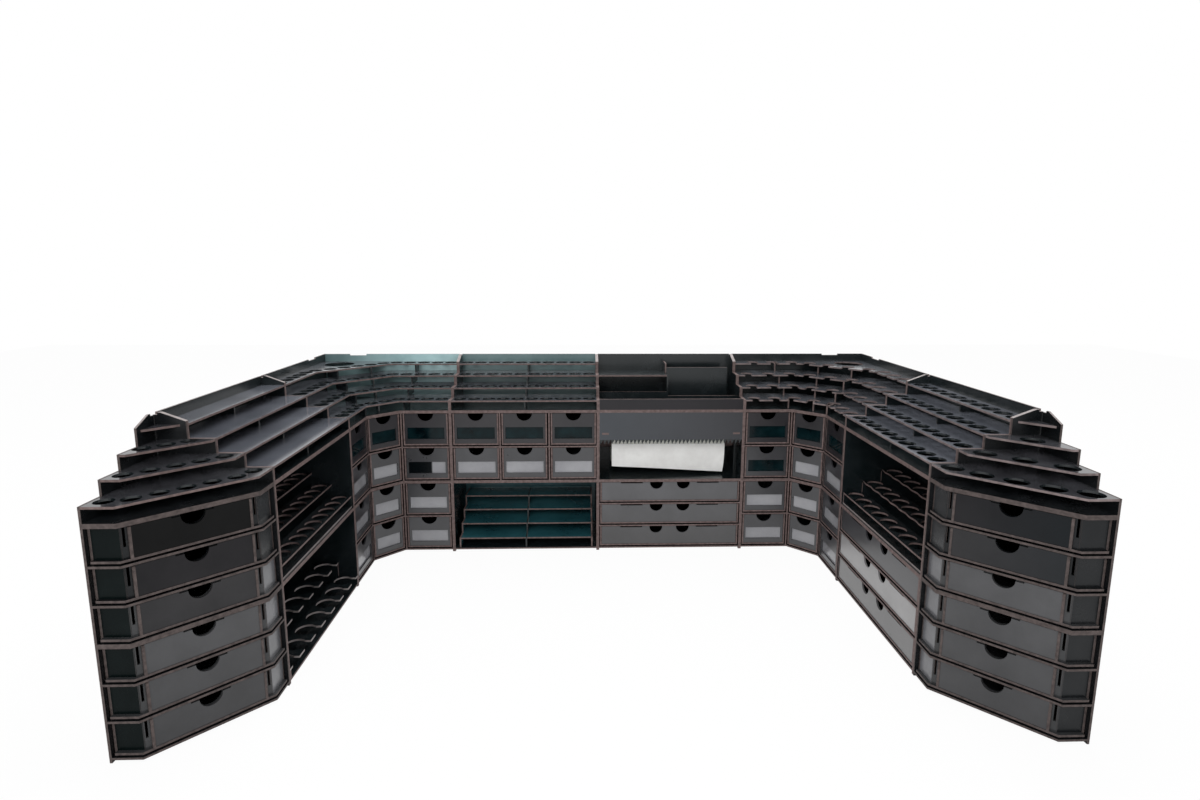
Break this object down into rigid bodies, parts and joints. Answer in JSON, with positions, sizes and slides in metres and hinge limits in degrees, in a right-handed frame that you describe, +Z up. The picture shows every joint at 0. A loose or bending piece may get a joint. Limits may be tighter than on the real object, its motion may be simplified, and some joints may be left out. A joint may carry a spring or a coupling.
{
  "type": "hobby workstation organizer",
  "caption": "U-shaped desktop workstation of black board: tool chests and parts cabinets with stepped bottle racks on top, drawers, open bays and a paper towel box.",
  "frame": {"origin": "middle of the footprint, on the table under the feet", "axes": "+X to the user's right, +Y away from the user, +Z up"},
  "size_m": [1.2, 0.75, 0.397],
  "materials": {
    "black_board": "satin",
    "paper": "matte"
  },
  "bodies": {
    "workstation": {"left_end_case": "black_board", "left_wing_case": "black_board", "left_corner_case": "black_board", "centre_left_case": "black_board", "centre_right_case": "black_board", "right_corner_case": "black_board", "right_wing_case": "black_board", "right_end_case": "black_board", "left_bottle_shelves": "black_board", "right_bottle_shelves": "black_board", "paper_sheet": "paper"},
    "paper_roll": {"paper_roll": "paper"},
    "left_corner_drawer_row1_col1": {"left_corner_drawer_row1_col1": "black_board"},
    "left_corner_drawer_row1_col2": {"left_corner_drawer_row1_col2": "black_board"},
    "left_corner_drawer_row1_col3": {"left_corner_drawer_row1_col3": "black_board"},
    "left_corner_drawer_row2_col1": {"left_corner_drawer_row2_col1": "black_board"},
    "left_corner_drawer_row2_col2": {"left_corner_drawer_row2_col2": "black_board"},
    "left_corner_drawer_row2_col3": {"left_corner_drawer_row2_col3": "black_board"},
    "left_corner_drawer_row3_col1": {"left_corner_drawer_row3_col1": "black_board"},
    "left_corner_drawer_row3_col2": {"left_corner_drawer_row3_col2": "black_board"},
    "left_corner_drawer_row3_col3": {"left_corner_drawer_row3_col3": "black_board"},
    "left_corner_drawer_row4_col1": {"left_corner_drawer_row4_col1": "black_board"},
    "left_corner_drawer_row4_col2": {"left_corner_drawer_row4_col2": "black_board"},
    "left_corner_drawer_row4_col3": {"left_corner_drawer_row4_col3": "black_board"},
    "right_corner_drawer_row1_col1": {"right_corner_drawer_row1_col1": "black_board"},
    "right_corner_drawer_row1_col2": {"right_corner_drawer_row1_col2": "black_board"},
    "right_corner_drawer_row1_col3": {"right_corner_drawer_row1_col3": "black_board"},
    "right_corner_drawer_row2_col1": {"right_corner_drawer_row2_col1": "black_board"},
    "right_corner_drawer_row2_col2": {"right_corner_drawer_row2_col2": "black_board"},
    "right_corner_drawer_row2_col3": {"right_corner_drawer_row2_col3": "black_board"},
    "right_corner_drawer_row3_col1": {"right_corner_drawer_row3_col1": "black_board"},
    "right_corner_drawer_row3_col2": {"right_corner_drawer_row3_col2": "black_board"},
    "right_corner_drawer_row3_col3": {"right_corner_drawer_row3_col3": "black_board"},
    "right_corner_drawer_row4_col1": {"right_corner_drawer_row4_col1": "black_board"},
    "right_corner_drawer_row4_col2": {"right_corner_drawer_row4_col2": "black_board"},
    "right_corner_drawer_row4_col3": {"right_corner_drawer_row4_col3": "black_board"},
    "centre_left_drawer_row1_col1": {"centre_left_drawer_row1_col1": "black_board"},
    "centre_left_drawer_row1_col2": {"centre_left_drawer_row1_col2": "black_board"},
    "centre_left_drawer_row1_col3": {"centre_left_drawer_row1_col3": "black_board"},
    "centre_left_drawer_row2_col1": {"centre_left_drawer_row2_col1": "black_board"},
    "centre_left_drawer_row2_col2": {"centre_left_drawer_row2_col2": "black_board"},
    "centre_left_drawer_row2_col3": {"centre_left_drawer_row2_col3": "black_board"},
    "centre_right_drawer_1": {"centre_right_drawer_1": "black_board"},
    "right_wing_drawer_1": {"right_wing_drawer_1": "black_board"},
    "centre_right_drawer_2": {"centre_right_drawer_2": "black_board"},
    "right_wing_drawer_2": {"right_wing_drawer_2": "black_board"},
    "centre_right_drawer_3": {"centre_right_drawer_3": "black_board"},
    "right_wing_drawer_3": {"right_wing_drawer_3": "black_board"},
    "left_end_drawer_1": {"left_end_drawer_1": "black_board"},
    "left_end_drawer_2": {"left_end_drawer_2": "black_board"},
    "left_end_drawer_3": {"left_end_drawer_3": "black_board"},
    "left_end_drawer_4": {"left_end_drawer_4": "black_board"},
    "left_end_drawer_5": {"left_end_drawer_5": "black_board"},
    "left_end_drawer_6": {"left_end_drawer_6": "black_board"},
    "right_end_drawer_1": {"right_end_drawer_1": "black_board"},
    "right_end_drawer_2": {"right_end_drawer_2": "black_board"},
    "right_end_drawer_3": {"right_end_drawer_3": "black_board"},
    "right_end_drawer_4": {"right_end_drawer_4": "black_board"},
    "right_end_drawer_5": {"right_end_drawer_5": "black_board"},
    "right_end_drawer_6": {"right_end_drawer_6": "black_board"}
  },
  "joints": [
    {"name": "left_corner_drawer_row1_col1_slide", "type": "slide", "parent": "workstation", "child": "left_corner_drawer_row1_col1", "axis": [0, -1, 0], "range_m": [0, 0.05]},
    {"name": "left_corner_drawer_row1_col2_slide", "type": "slide", "parent": "workstation", "child": "left_corner_drawer_row1_col2", "axis": [-0.7071, 0.7071, 0], "range_m": [-0.1, 0]},
    {"name": "left_corner_drawer_row1_col3_slide", "type": "slide", "parent": "workstation", "child": "left_corner_drawer_row1_col3", "axis": [1, 0, 0], "range_m": [0, 0.05]},
    {"name": "left_corner_drawer_row2_col1_slide", "type": "slide", "parent": "workstation", "child": "left_corner_drawer_row2_col1", "axis": [0, -1, 0], "range_m": [0, 0.05]},
    {"name": "left_corner_drawer_row2_col2_slide", "type": "slide", "parent": "workstation", "child": "left_corner_drawer_row2_col2", "axis": [-0.7071, 0.7071, 0], "range_m": [-0.1, 0]},
    {"name": "left_corner_drawer_row2_col3_slide", "type": "slide", "parent": "workstation", "child": "left_corner_drawer_row2_col3", "axis": [1, 0, 0], "range_m": [0, 0.05]},
    {"name": "left_corner_drawer_row3_col1_slide", "type": "slide", "parent": "workstation", "child": "left_corner_drawer_row3_col1", "axis": [0, -1, 0], "range_m": [0, 0.05]},
    {"name": "left_corner_drawer_row3_col2_slide", "type": "slide", "parent": "workstation", "child": "left_corner_drawer_row3_col2", "axis": [-0.7071, 0.7071, 0], "range_m": [-0.1, 0]},
    {"name": "left_corner_drawer_row3_col3_slide", "type": "slide", "parent": "workstation", "child": "left_corner_drawer_row3_col3", "axis": [1, 0, 0], "range_m": [0, 0.05]},
    {"name": "left_corner_drawer_row4_col1_slide", "type": "slide", "parent": "workstation", "child": "left_corner_drawer_row4_col1", "axis": [0, -1, 0], "range_m": [0, 0.05]},
    {"name": "left_corner_drawer_row4_col2_slide", "type": "slide", "parent": "workstation", "child": "left_corner_drawer_row4_col2", "axis": [-0.7071, 0.7071, 0], "range_m": [-0.1, 0]},
    {"name": "left_corner_drawer_row4_col3_slide", "type": "slide", "parent": "workstation", "child": "left_corner_drawer_row4_col3", "axis": [1, 0, 0], "range_m": [0, 0.05]},
    {"name": "right_corner_drawer_row1_col1_slide", "type": "slide", "parent": "workstation", "child": "right_corner_drawer_row1_col1", "axis": [0, -1, 0], "range_m": [0, 0.05]},
    {"name": "right_corner_drawer_row1_col2_slide", "type": "slide", "parent": "workstation", "child": "right_corner_drawer_row1_col2", "axis": [0.7071, 0.7071, 0], "range_m": [-0.1, 0]},
    {"name": "right_corner_drawer_row1_col3_slide", "type": "slide", "parent": "workstation", "child": "right_corner_drawer_row1_col3", "axis": [-1, 0, 0], "range_m": [0, 0.05]},
    {"name": "right_corner_drawer_row2_col1_slide", "type": "slide", "parent": "workstation", "child": "right_corner_drawer_row2_col1", "axis": [0, -1, 0], "range_m": [0, 0.05]},
    {"name": "right_corner_drawer_row2_col2_slide", "type": "slide", "parent": "workstation", "child": "right_corner_drawer_row2_col2", "axis": [0.7071, 0.7071, 0], "range_m": [-0.1, 0]},
    {"name": "right_corner_drawer_row2_col3_slide", "type": "slide", "parent": "workstation", "child": "right_corner_drawer_row2_col3", "axis": [-1, 0, 0], "range_m": [0, 0.05]},
    {"name": "right_corner_drawer_row3_col1_slide", "type": "slide", "parent": "workstation", "child": "right_corner_drawer_row3_col1", "axis": [0, -1, 0], "range_m": [0, 0.05]},
    {"name": "right_corner_drawer_row3_col2_slide", "type": "slide", "parent": "workstation", "child": "right_corner_drawer_row3_col2", "axis": [0.7071, 0.7071, 0], "range_m": [-0.1, 0]},
    {"name": "right_corner_drawer_row3_col3_slide", "type": "slide", "parent": "workstation", "child": "right_corner_drawer_row3_col3", "axis": [-1, 0, 0], "range_m": [0, 0.05]},
    {"name": "right_corner_drawer_row4_col1_slide", "type": "slide", "parent": "workstation", "child": "right_corner_drawer_row4_col1", "axis": [0, -1, 0], "range_m": [0, 0.05]},
    {"name": "right_corner_drawer_row4_col2_slide", "type": "slide", "parent": "workstation", "child": "right_corner_drawer_row4_col2", "axis": [0.7071, 0.7071, 0], "range_m": [-0.1, 0]},
    {"name": "right_corner_drawer_row4_col3_slide", "type": "slide", "parent": "workstation", "child": "right_corner_drawer_row4_col3", "axis": [-1, 0, 0], "range_m": [0, 0.05]},
    {"name": "centre_left_drawer_row1_col1_slide", "type": "slide", "parent": "workstation", "child": "centre_left_drawer_row1_col1", "axis": [0, -1, 0], "range_m": [0, 0.11]},
    {"name": "centre_left_drawer_row1_col2_slide", "type": "slide", "parent": "workstation", "child": "centre_left_drawer_row1_col2", "axis": [0, -1, 0], "range_m": [0, 0.11]},
    {"name": "centre_left_drawer_row1_col3_slide", "type": "slide", "parent": "workstation", "child": "centre_left_drawer_row1_col3", "axis": [0, -1, 0], "range_m": [0, 0.11]},
    {"name": "centre_left_drawer_row2_col1_slide", "type": "slide", "parent": "workstation", "child": "centre_left_drawer_row2_col1", "axis": [0, -1, 0], "range_m": [0, 0.11]},
    {"name": "centre_left_drawer_row2_col2_slide", "type": "slide", "parent": "workstation", "child": "centre_left_drawer_row2_col2", "axis": [0, -1, 0], "range_m": [0, 0.11]},
    {"name": "centre_left_drawer_row2_col3_slide", "type": "slide", "parent": "workstation", "child": "centre_left_drawer_row2_col3", "axis": [0, -1, 0], "range_m": [0, 0.11]},
    {"name": "centre_right_drawer_1_slide", "type": "slide", "parent": "workstation", "child": "centre_right_drawer_1", "axis": [0, -1, 0], "range_m": [0, 0.11]},
    {"name": "right_wing_drawer_1_slide", "type": "slide", "parent": "workstation", "child": "right_wing_drawer_1", "axis": [-1, 0, 0], "range_m": [0, 0.11]},
    {"name": "centre_right_drawer_2_slide", "type": "slide", "parent": "workstation", "child": "centre_right_drawer_2", "axis": [0, -1, 0], "range_m": [0, 0.11]},
    {"name": "right_wing_drawer_2_slide", "type": "slide", "parent": "workstation", "child": "right_wing_drawer_2", "axis": [-1, 0, 0], "range_m": [0, 0.11]},
    {"name": "centre_right_drawer_3_slide", "type": "slide", "parent": "workstation", "child": "centre_right_drawer_3", "axis": [0, -1, 0], "range_m": [0, 0.11]},
    {"name": "right_wing_drawer_3_slide", "type": "slide", "parent": "workstation", "child": "right_wing_drawer_3", "axis": [-1, 0, 0], "range_m": [0, 0.11]},
    {"name": "left_end_drawer_1_slide", "type": "slide", "parent": "workstation", "child": "left_end_drawer_1", "axis": [0.7071, -0.7071, 0], "range_m": [0, 0.09]},
    {"name": "left_end_drawer_2_slide", "type": "slide", "parent": "workstation", "child": "left_end_drawer_2", "axis": [0.7071, -0.7071, 0], "range_m": [0, 0.09]},
    {"name": "left_end_drawer_3_slide", "type": "slide", "parent": "workstation", "child": "left_end_drawer_3", "axis": [0.7071, -0.7071, 0], "range_m": [0, 0.09]},
    {"name": "left_end_drawer_4_slide", "type": "slide", "parent": "workstation", "child": "left_end_drawer_4", "axis": [0.7071, -0.7071, 0], "range_m": [0, 0.09]},
    {"name": "left_end_drawer_5_slide", "type": "slide", "parent": "workstation", "child": "left_end_drawer_5", "axis": [0.7071, -0.7071, 0], "range_m": [0, 0.09]},
    {"name": "left_end_drawer_6_slide", "type": "slide", "parent": "workstation", "child": "left_end_drawer_6", "axis": [0.7071, -0.7071, 0], "range_m": [0, 0.09]},
    {"name": "right_end_drawer_1_slide", "type": "slide", "parent": "workstation", "child": "right_end_drawer_1", "axis": [-0.7071, -0.7071, 0], "range_m": [0, 0.09]},
    {"name": "right_end_drawer_2_slide", "type": "slide", "parent": "workstation", "child": "right_end_drawer_2", "axis": [-0.7071, -0.7071, 0], "range_m": [0, 0.09]},
    {"name": "right_end_drawer_3_slide", "type": "slide", "parent": "workstation", "child": "right_end_drawer_3", "axis": [-0.7071, -0.7071, 0], "range_m": [0, 0.09]},
    {"name": "right_end_drawer_4_slide", "type": "slide", "parent": "workstation", "child": "right_end_drawer_4", "axis": [-0.7071, -0.7071, 0], "range_m": [0, 0.09]},
    {"name": "right_end_drawer_5_slide", "type": "slide", "parent": "workstation", "child": "right_end_drawer_5", "axis": [-0.7071, -0.7071, 0], "range_m": [0, 0.09]},
    {"name": "right_end_drawer_6_slide", "type": "slide", "parent": "workstation", "child": "right_end_drawer_6", "axis": [-0.7071, -0.7071, 0], "range_m": [0, 0.09]},
    {"name": "paper_roll_spin", "type": "hinge", "parent": "workstation", "child": "paper_roll", "pos_m": [0.15, 0.313, 0.22], "axis": [1, 0, 0], "continuous": true}
  ]
}
